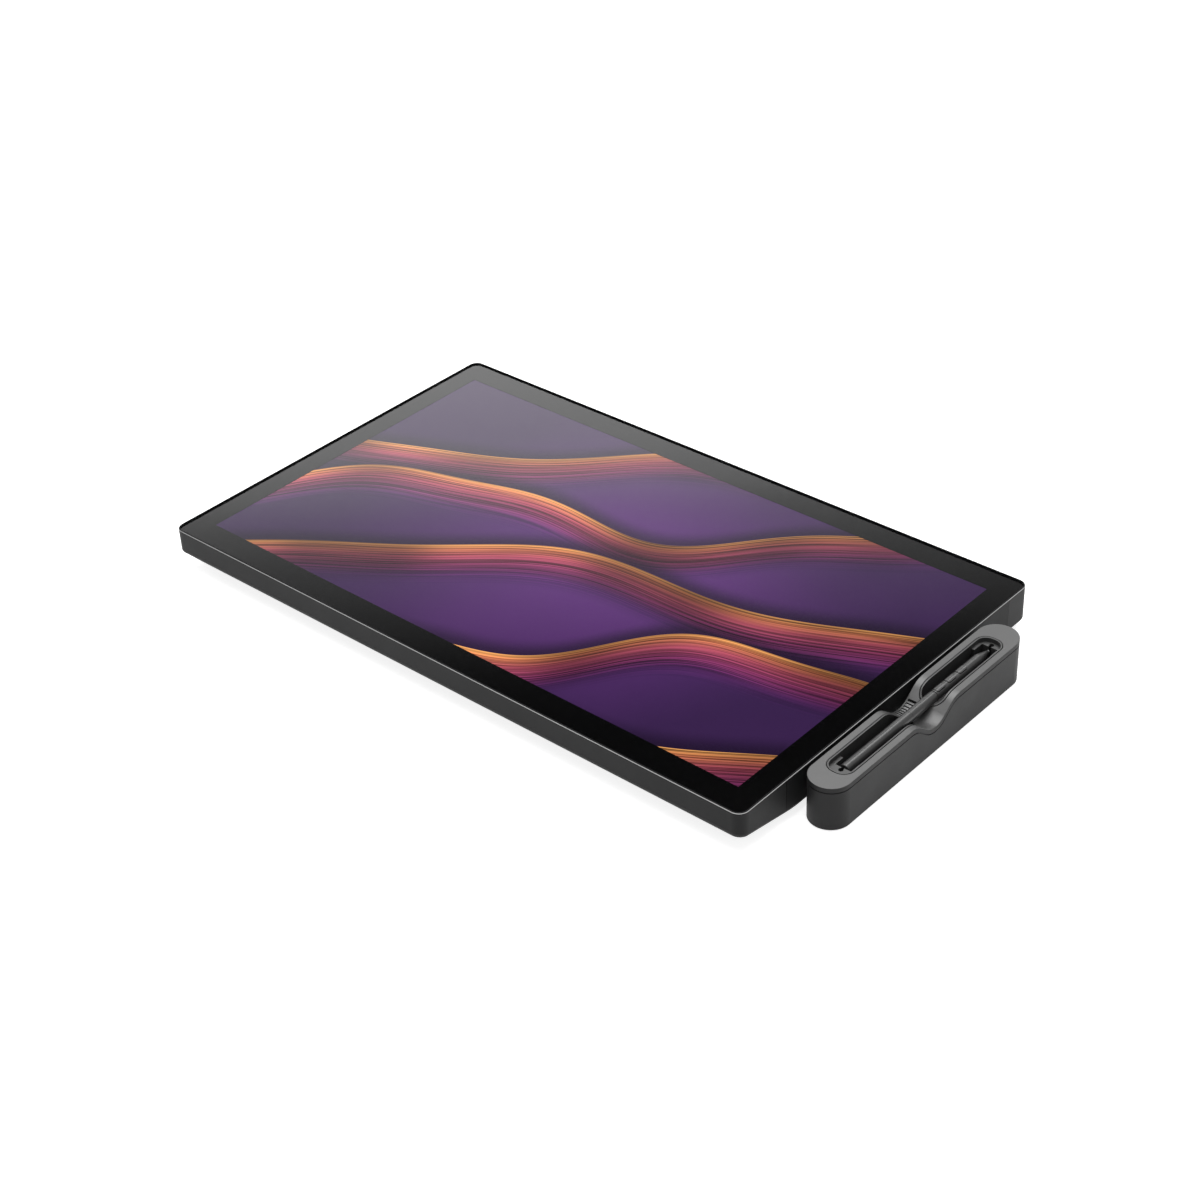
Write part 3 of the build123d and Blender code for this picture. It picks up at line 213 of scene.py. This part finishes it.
def paintSeamShade(look, name):
    # a side cover is painted black at its two ends, where its rounded edges meet the frame, with its
    # reflection there put out too: painted shade in the seams
    made = grained(name.split("_")[0] + "SidePlastic", look["side"])
    low, high = (edge(corner.co.y for corner in parts[name].data.vertices) for edge in (min, max))
    seamShade = blackFrom(made, "Y", (low + high) / 2, (high - low) / 2 - look["paintedSeamShadeWidth"])
    feed(made.node_tree, made.node_tree.nodes["Principled BSDF"].inputs["Metallic"], seamShade)
    return made


dress(grained("graphiteMetal", caseLook["frame"]), "side_frame")
graphitePlastic = grained("graphitePlastic", caseLook["plastic"])
for name in ("left_side_cover", "right_side_cover"):
    dress(paintSeamShade(caseLook, name), name)
cutRim = grained("cutRim", caseLook["rim"])
blackFrom(cutRim, "Z", 0.0, caseLook["rimPaintedShadowFrom"])  # the chamfer's upper edge is painted black: a painted shadow of the glass
blackLand = grained("blackLand", caseLook["land"])
for name in ("side_frame", "left_side_cover", "right_side_cover"):
    dressFaces(name, cutRim, lambda face: face.center.z > caseLook["rimFoot"]
               and facing["upright"] < face.normal.z < facing["level"])
    dressFaces(name, blackLand, lambda face: face.center.z > caseLook["rimFoot"]
               and face.normal.z >= facing["level"])
dress(graphitePlastic, "rear_cover", "tray_shell", "touch_switch",
      *[name for name in parts if name.startswith("rear_key_")])
print("case dressed")


glassLook = {
    "edge": (0.006, 0.007, 0.008),
    "edgeShade": 0.7,
    "edgeGrain": 0.002,
    "edgeRough": 0.35,
    "clear": (1.0, 1.0, 1.0),
    "clearShade": (0.99, 0.99, 0.99),
    "patch": 0.05,
    "rough": 0.07,
    "roughSpread": 0.003,
    "index": 1.5,
    "printColour": (0.0005, 0.0005, 0.0006),
    "printShade": (0.0003, 0.0003, 0.0004),
    "printDots": 0.0004,
    "printShare": 0.5,  # of the border's thickness
}


def glassEdge(look):
    # the ground rim of the glass, which shows the black print behind it
    made, tree, surface, place = newMaterial("glassEdge")
    ground = speckle(tree, place, look["edgeGrain"])
    shade = tuple(look["edgeShade"] * value for value in look["edge"])
    feed(tree, surface.inputs["Base Color"], mixColours(tree, ground, look["edge"], shade))
    surface.inputs["Roughness"].default_value = look["edgeRough"]
    surface.inputs["IOR"].default_value = look["index"]
    return made


def clearFace(look):
    # the glass is bonded to what lies under it, so its broad faces only let the light through:
    # the print and the panel below carry its etched gloss, which keeps the haze free of grain
    made, tree, surface, place = newMaterial("clearFace")
    faint = speckle(tree, place, look["patch"])
    feed(tree, surface.inputs["Base Color"], mixColours(tree, faint, look["clear"], look["clearShade"]))
    surface.inputs["Roughness"].default_value = look["rough"]
    surface.inputs["Alpha"].default_value = 0.0
    return made


def etchedGloss(tree, surface, place, look):
    etch = speckle(tree, place, look["patch"])
    smoothest, roughest = look["rough"] - look["roughSpread"], look["rough"] + look["roughSpread"]
    feed(tree, surface.inputs["Roughness"], spread(tree, etch, smoothest, roughest))
    surface.inputs["IOR"].default_value = look["index"]


def blackPrint(look):
    made, tree, surface, place = newMaterial("blackPrint")
    dots = speckle(tree, place, look["printDots"])
    colour = mixColours(tree, dots, look["printColour"], look["printShade"])
    feed(tree, surface.inputs["Base Color"], colour)
    etchedGloss(tree, surface, place, look)
    return made


dress(glassEdge(glassLook), "cover_glass")
dressFaces("cover_glass", clearFace(glassLook), lambda face: abs(face.normal.z) > facing["level"])
dress(blackPrint(glassLook), "bezel_mask", "glass_tape")


def thinPrint(look):
    # the printed border, drawn in a little from the glass above and the panel below,
    # so that no two faces share a plane
    made = bpy.data.objects.new("printed_border", parts["bezel_mask"].data.copy())
    scene.collection.objects.link(made)
    low, high = (edge(corner.co.z for corner in made.data.vertices) for edge in (min, max))
    middle = (low + high) / 2
    for corner in made.data.vertices:
        corner.co.z = middle + look["printShare"] * (corner.co.z - middle)
    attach(made, "display")
    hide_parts("bezel_mask")


thinPrint(glassLook)


pictureLook = {
    "centre": (-0.0158, -0.00035),
    "middle": (0.105, 0.028, 0.170),
    "edge": (0.034, 0.012, 0.060),
    "glow": (0.02, 0.0),
    "reach": 0.22,
    "mottle": 0.12,
    "mottleDepth": 0.08,
    "slant": 24.0,
    # layered waves, the farthest first: middle line, height, length, start and depth of the band in metres
    "waves": [(0.128, 0.020, 0.46, 0.10, 0.052), (0.058, 0.026, 0.38, 0.62, 0.050),
              (-0.022, 0.024, 0.50, 0.33, 0.056), (-0.100, 0.026, 0.36, 0.90, 0.054),
              (-0.172, 0.020, 0.44, 0.45, 0.060)],
    "ripple": {"rate": 2.3, "shift": 5.0, "height": 0.22},  # a second, shorter wave on each
    # colour from the crest of a wave down to its foot
    "palette": [(0.00, (0.78, 0.36, 0.10)), (0.10, (0.56, 0.17, 0.07)), (0.26, (0.40, 0.07, 0.10)),
                (0.48, (0.24, 0.035, 0.12)), (0.72, (0.11, 0.020, 0.12)), (1.00, (0.05, 0.012, 0.09))],
    "footFade": (0.45, 1.0),
    "crestLine": 0.0004,
    "night": (0.006, 0.002, 0.010),
    "shadow": 0.020,
    "shadowDepth": 0.75,
    # strands along each wave, brighter and darker; the gleam varies along a wave
    "strandPitch": 0.0012,
    "strandRun": 0.14,
    "strandDetail": 1.5,
    "strandStep": 2.7,
    "strandLight": (0.22, 1.4),
    "gleamRate": 7.0,
    "gleamStep": 3.1,
    "gleamLight": (0.35, 1.2),
    "noiseSpan": (0.35, 0.65),
    "unlit": (0.001, 0.001, 0.002),
    "unlitShare": 0.95,
}


def waveColour(tree, look, number, run, below, share):
    # one wave: its colours from crest to foot, with bright and dark strands
    palette = addNode(tree, "ValToRGB", Fac=share)
    stops = palette.color_ramp.elements
    for step, (at, colour) in enumerate(look["palette"]):
        stop = stops[step] if step < 2 else stops.new(at)
        stop.position, stop.color = at, (*colour, 1.0)
    strand = addNode(tree, "CombineXYZ", X=calc(tree, "DIVIDE", run, look["strandRun"]),
                     Y=calc(tree, "DIVIDE", below, look["strandPitch"]), Z=number * look["strandStep"])
    strands = addNode(tree, "TexNoise", Vector=strand.outputs[0], Scale=1.0, Detail=look["strandDetail"])
    length = addNode(tree, "CombineXYZ", X=run, Z=number * look["gleamStep"])
    gleam = addNode(tree, "TexNoise", Vector=length.outputs[0], Scale=look["gleamRate"], Detail=1.0)
    strandLit = ramp(tree, strands.outputs["Fac"], *look["noiseSpan"], *look["strandLight"])
    gleamLit = ramp(tree, gleam.outputs["Fac"], *look["noiseSpan"], *look["gleamLight"], soft=True)
    lit = calc(tree, "MULTIPLY", strandLit, gleamLit)
    light = addNode(tree, "CombineColor", Red=lit, Green=lit, Blue=lit).outputs[0]
    return mixColours(tree, 1.0, palette.outputs["Color"], light, "MULTIPLY")


def screenPicture(look):
    made, tree, surface, place = newMaterial("screenPicture")
    spot = addNode(tree, "SeparateXYZ", Vector=place)
    x, y = (calc(tree, "SUBTRACT", spot.outputs[axis], middle)
            for axis, middle in zip("XY", look["centre"]))
    slant = math.radians(look["slant"])
    cosine, sine = math.cos(slant), math.sin(slant)
    run = calc(tree, "ADD", calc(tree, "MULTIPLY", x, cosine), calc(tree, "MULTIPLY", y, sine))
    rise = calc(tree, "SUBTRACT", calc(tree, "MULTIPLY", y, cosine), calc(tree, "MULTIPLY", x, sine))

    toGlow = [calc(tree, "SUBTRACT", part, middle) for part, middle in zip((x, y), look["glow"])]
    far = calc(tree, "SQRT", calc(tree, "ADD", *[calc(tree, "MULTIPLY", part, part) for part in toGlow]))
    mottle = spread(tree, speckle(tree, place, look["mottle"]), -look["mottleDepth"], look["mottleDepth"])
    far = calc(tree, "ADD", ramp(tree, far, 0.0, look["reach"], soft=True), mottle)
    ground = mixColours(tree, far, look["middle"], look["edge"])

    picture = ground
    ripple = look["ripple"]
    for number, (middle, height, length, start, depth) in enumerate(look["waves"]):
        swell = calc(tree, "SINE", calc(tree, "MULTIPLY_ADD", run, math.tau / length, math.tau * start))
        small = calc(tree, "SINE", calc(tree, "MULTIPLY_ADD", run, ripple["rate"] * math.tau / length,
                                        ripple["shift"] * start))
        crest = calc(tree, "MULTIPLY_ADD", swell, height,
                     calc(tree, "MULTIPLY_ADD", small, ripple["height"] * height, middle))
        below = calc(tree, "SUBTRACT", crest, rise)
        share = calc(tree, "DIVIDE", below, depth)
        behind = ramp(tree, below, -look["shadow"], 0.0, 0.0, look["shadowDepth"], soft=True)
        picture = mixColours(tree, behind, picture, look["night"])
        inside = ramp(tree, below, 0.0, look["crestLine"])
        fade = calc(tree, "MULTIPLY", inside, ramp(tree, share, *look["footFade"], 1.0, 0.0, soft=True))
        wave = mixColours(tree, fade, ground, waveColour(tree, look, number, run, below, share))
        picture = mixColours(tree, inside, picture, wave)
    feed(tree, surface.inputs["Base Color"], mixColours(tree, look["unlitShare"], picture, look["unlit"]))
    feed(tree, surface.inputs["Emission Color"], picture)
    surface.inputs["Emission Strength"].default_value = 1.0
    etchedGloss(tree, surface, place, glassLook)
    return made


dress(screenPicture(pictureLook), "lcd_panel")
print("display dressed")


trayLook = {
    # the cap's top: lighter and glossier than its upright faces, painted light by which way a face points
    "cap": {"colour": (0.028, 0.028, 0.028), "shade": (0.022, 0.022, 0.022), "patch": 0.02,
            "grain": 0.0002, "rough": (0.40, 0.46), "depth": 0.000006, "gloss": 0.62},
    "liner": {"colour": (0.020, 0.020, 0.020), "shade": (0.015, 0.015, 0.015), "patch": 0.012,
              "grain": 0.00025, "rough": (0.42, 0.50), "depth": 0.00001, "gloss": 0.5},
    "black": {"colour": (0.012, 0.012, 0.012), "shade": (0.009, 0.009, 0.009), "patch": 0.012,
              "grain": 0.00025, "rough": (0.45, 0.55), "depth": 0.000015},
    "rubber": {"colour": (0.020, 0.020, 0.020), "shade": (0.014, 0.014, 0.014), "patch": 0.008,
               "grain": 0.0005, "rough": (0.75, 0.9), "depth": 0.00004},
}

# the cap is painted in two tones by which way its faces point, lighter on top and darker on its upright
# faces, which get the shell's plastic: painted light and shade
dress(grained("satinCapPaintedLight", trayLook["cap"]), "tray_cap")
dressFaces("tray_cap", graphitePlastic, lambda face: abs(face.normal.z) < facing["upright"])
dress(grained("satinLiner", trayLook["liner"]), "tray_liner", "pen_cradles")
dress(grained("blackPlastic", trayLook["black"]), "power_socket", "fan_housing", "fan_rotor",
      "pen_pressure_sensor")
dress(grained("blackRubber", trayLook["rubber"]), "rubber_feet", "tray_base_pad")


penLook = {
    "barrel": {"colour": (0.022, 0.022, 0.022), "shade": (0.017, 0.017, 0.017), "patch": 0.01,
               "grain": 0.00012, "rough": (0.26, 0.32), "depth": 0.000003},
    "switch": {"colour": (0.030, 0.030, 0.030), "shade": (0.024, 0.024, 0.024), "patch": 0.004,
               "grain": 0.0001, "rough": (0.22, 0.28), "depth": 0.000002},
    "nib": {"colour": (0.17, 0.17, 0.17), "shade": (0.13, 0.13, 0.13), "patch": 0.002,
            "grain": 0.0001, "rough": (0.45, 0.55), "depth": 0.000004},
}

dress(grained("penPlastic", penLook["barrel"]), "pen_tail_cap", "pen_barrel_rear", "pen_barrel_front",
      "pen_nose")
dress(grained("switchPlastic", penLook["switch"]), "pen_switch_rear", "pen_switch_middle",
      "pen_switch_front", "power_button")
dress(grained("nibPlastic", penLook["nib"]), "pen_nib", "spare_nibs")
print("tray and pen dressed")


innerLook = {
    "sheet": {"colour": (0.56, 0.56, 0.57), "shade": (0.46, 0.46, 0.47), "patch": 0.012, "grain": 0.0006,
              "rough": (0.34, 0.48), "depth": 0.000006, "metal": 1.0, "stretch": (1.0, 0.06, 1.0)},
    "bright": {"colour": (0.55, 0.55, 0.56), "shade": (0.44, 0.44, 0.45), "patch": 0.004, "grain": 0.0003,
               "rough": (0.22, 0.34), "depth": 0.000004, "metal": 1.0},
    "steel": {"colour": (0.045, 0.045, 0.047), "shade": (0.03, 0.03, 0.032), "patch": 0.002,
              "grain": 0.0002, "rough": (0.32, 0.45), "depth": 0.000006, "metal": 0.9},
    "sheetWhite": {"colour": (0.80, 0.80, 0.78), "shade": (0.74, 0.74, 0.72), "patch": 0.05,
                   "grain": 0.0008, "rough": (0.5, 0.6), "depth": 0.00001},
}

dress(grained("pressedSheet", innerLook["sheet"]), "inner_chassis", "mount_rails", "wall_mount_plate",
      "heat_sink", "tray_bracket")
dress(grained("brightMetal", innerLook["bright"]), "video_socket", "display_socket", "data_socket",
      "small_screws", "tray_pivot", "bracket_screws")
dress(grained("blackSteel", innerLook["steel"]), "rear_screws", "tray_screws")
dress(grained("diffuser", innerLook["sheetWhite"]), "backlight_unit")

boardLook = {
    "mask": (0.012, 0.085, 0.040),
    "track": (0.030, 0.160, 0.075),
    "trackWidth": (0.03, 0.05),
    "pad": (0.55, 0.38, 0.14),
    "padWidth": (0.16, 0.18),
    "pitch": 0.0022,
    "trackRate": 0.35,  # cells in a pitch
    "padRate": 0.6,
    "rough": 0.42,
    "padRough": 0.28,
    "depth": 0.00003,
}


def circuitBoard(look):
    made, tree, surface, place = newMaterial("circuitBoard")
    cells = addNode(tree, "TexVoronoi", {"feature": "DISTANCE_TO_EDGE"}, Vector=place,
                    Scale=look["trackRate"] / look["pitch"])
    tracks = ramp(tree, cells.outputs["Distance"], *look["trackWidth"], 1.0, 0.0)
    dots = addNode(tree, "TexVoronoi", {"distance": "CHEBYCHEV"}, Vector=place,
                   Scale=look["padRate"] / look["pitch"])
    pads = ramp(tree, dots.outputs["Distance"], *look["padWidth"], 1.0, 0.0)
    colour = mixColours(tree, tracks, look["mask"], look["track"])
    feed(tree, surface.inputs["Base Color"], mixColours(tree, pads, colour, look["pad"]))
    feed(tree, surface.inputs["Roughness"], ramp(tree, pads, 0.0, 1.0, look["rough"], look["padRough"]))
    feed(tree, surface.inputs["Metallic"], pads)
    relief(tree, surface, calc(tree, "ADD", tracks, pads), look["depth"])
    return made


dress(circuitBoard(boardLook), "led_bar", "pen_sensor_board", "main_board", "power_board", "port_board",
      "switch_boards", "pen_circuit")

stripeLook = {
    "film": {"axis": "X", "gap": (0.42, 0.20, 0.045), "line": (0.50, 0.28, 0.09), "pitch": 0.001,
             "rough": (0.30, 0.40), "metal": 0.0},
    "copper": {"axis": "Y", "gap": (0.16, 0.05, 0.02), "line": (0.62, 0.26, 0.12), "pitch": 0.00022,
               "rough": (0.25, 0.35), "metal": 0.9},
    "lineEdge": 0.4,
    "patch": 0.002,
    "relief": 0.125,  # of the pitch
}


def striped(name, look):
    made, tree, surface, place = newMaterial(name)
    spot = addNode(tree, "SeparateXYZ", Vector=place).outputs[look["axis"]]
    wave = calc(tree, "SINE", calc(tree, "MULTIPLY", spot, math.tau / look["pitch"]))
    share = ramp(tree, wave, -stripeLook["lineEdge"], stripeLook["lineEdge"], soft=True)
    feed(tree, surface.inputs["Base Color"], mixColours(tree, share, look["gap"], look["line"]))
    patches = speckle(tree, place, stripeLook["patch"])
    feed(tree, surface.inputs["Roughness"], spread(tree, patches, *look["rough"]))
    surface.inputs["Metallic"].default_value = look["metal"]
    relief(tree, surface, wave, stripeLook["relief"] * look["pitch"])
    return made


dress(striped("amberFilm", stripeLook["film"]), "display_ribbon")
dress(striped("copperWinding", stripeLook["copper"]), "pen_coil")
print("inner pieces dressed")


studioLook = {
    "floorColour": (0.48, 0.48, 0.48),
    "floorShade": 0.985,
    "floorPatch": 0.4,
    "floorRough": 0.85,
    "floorGloss": 0.2,
    "floorGlow": 0.80,
    "floorSize": 14.0,
    "floorDrop": 0.0003,  # under the feet, so that no two faces share a plane
    "world": 0.7,
    "overhead": 271.0,
    "overheadSize": 3.8,
    "overheadHeight": 3.2,
    "overheadShift": 1.1,
    # the backdrop's brightness by height in metres; its top fades to black, and the glass shows that fade
    "backdrop": [(0.0, 0.75), (0.85, 0.85), (1.12, 1.85), (1.28, 2.1), (1.45, 1.82), (1.54, 1.44),
                 (1.64, 0.78), (1.75, 0.47), (1.87, 0.26), (1.95, 0.12), (2.03, 0.04), (2.2, 0.02)],
    "backdropSides": (1.4, 3.3),  # metres to either side, between which its brightness levels out
    "backdropAway": 2.6,
    "backdropWidth": 7.0,
    "backdropHeight": 2.65,
}


def floorPaint(look):
    made, tree, surface, place = newMaterial("floorPaint")
    shade = tuple(look["floorShade"] * value for value in look["floorColour"])
    patches = speckle(tree, place, look["floorPatch"])
    feed(tree, surface.inputs["Base Color"], mixColours(tree, patches, look["floorColour"], shade))
    surface.inputs["Roughness"].default_value = look["floorRough"]
    surface.inputs["Specular IOR Level"].default_value = look["floorGloss"]
    surface.inputs["Emission Color"].default_value = (1.0, 1.0, 1.0, 1.0)
    surface.inputs["Emission Strength"].default_value = look["floorGlow"]
    return made


def plate(name, corners, material):
    mesh = bpy.data.meshes.new(name)
    mesh.from_pydata(corners, [], [tuple(range(len(corners)))])
    mesh.materials.append(material)
    made = bpy.data.objects.new(name, mesh)
    scene.collection.objects.link(made)
    return made


half, level = studioLook["floorSize"] / 2, -studioLook["floorDrop"]
plate("floor", [(-half, -half, level), (half, -half, level), (half, half, level), (-half, half, level)],
      floorPaint(studioLook))

heading = math.radians(cameraLook["heading"])
away = Vector((-math.sin(heading), math.cos(heading), 0.0))
along = Vector((math.cos(heading), math.sin(heading), 0.0))


def backdropMaterial(look):
    made, tree, surface, place = newMaterial("backdropGlow")
    tree.nodes.remove(surface)
    spot = addNode(tree, "SeparateXYZ", Vector=place)
    top = look["backdrop"][-1][0]
    fade = addNode(tree, "ValToRGB", Fac=calc(tree, "DIVIDE", spot.outputs["Z"], top))
    fade.color_ramp.interpolation = "EASE"
    stops = fade.color_ramp.elements
    most = max(strength for at, strength in look["backdrop"])
    for step, (at, strength) in enumerate(look["backdrop"]):
        stop = stops[step] if step < 2 else stops.new(at / top)
        stop.position, stop.color = at / top, (strength / most,) * 3 + (1.0,)
    aside = calc(tree, "ABSOLUTE", calc(tree, "ADD", calc(tree, "MULTIPLY", spot.outputs["X"], along.x),
                                        calc(tree, "MULTIPLY", spot.outputs["Y"], along.y)))
    plain = (look["world"] / most,) * 3  # towards its sides the backdrop turns as bright as the sky
    sides = ramp(tree, aside, *look["backdropSides"], soft=True)
    colour = mixColours(tree, sides, fade.outputs["Color"], plain)
    glow = addNode(tree, "Emission", Color=colour, Strength=most)
    tree.links.new(glow.outputs[0], tree.nodes["Material Output"].inputs["Surface"])
    return made


foot, aside = away * studioLook["backdropAway"], along * (studioLook["backdropWidth"] / 2)
tall = Vector((0.0, 0.0, studioLook["backdropHeight"]))
backdrop = plate("backdrop", [foot - aside, foot + aside, foot + aside + tall, foot - aside + tall],
                 backdropMaterial(studioLook))
backdrop.visible_camera = False


# a level panel overhead, turned to the camera's heading: its far edge stays just above
# what the glass mirrors
lamp = bpy.data.lights.new("overhead", "AREA")
lamp.shape, lamp.size, lamp.energy = "SQUARE", studioLook["overheadSize"], studioLook["overhead"]
overhead = bpy.data.objects.new("overhead", lamp)
overhead.location = away * studioLook["overheadShift"] + Vector((0, 0, studioLook["overheadHeight"]))
overhead.rotation_euler = (0.0, 0.0, heading)
overhead.visible_camera = False
scene.collection.objects.link(overhead)

sky = bpy.data.worlds.new("sky")
sky.use_nodes = True
sky.node_tree.nodes["Background"].inputs["Color"].default_value = (1.0, 1.0, 1.0, 1.0)
sky.node_tree.nodes["Background"].inputs["Strength"].default_value = studioLook["world"]
scene.world = sky
print("studio set")
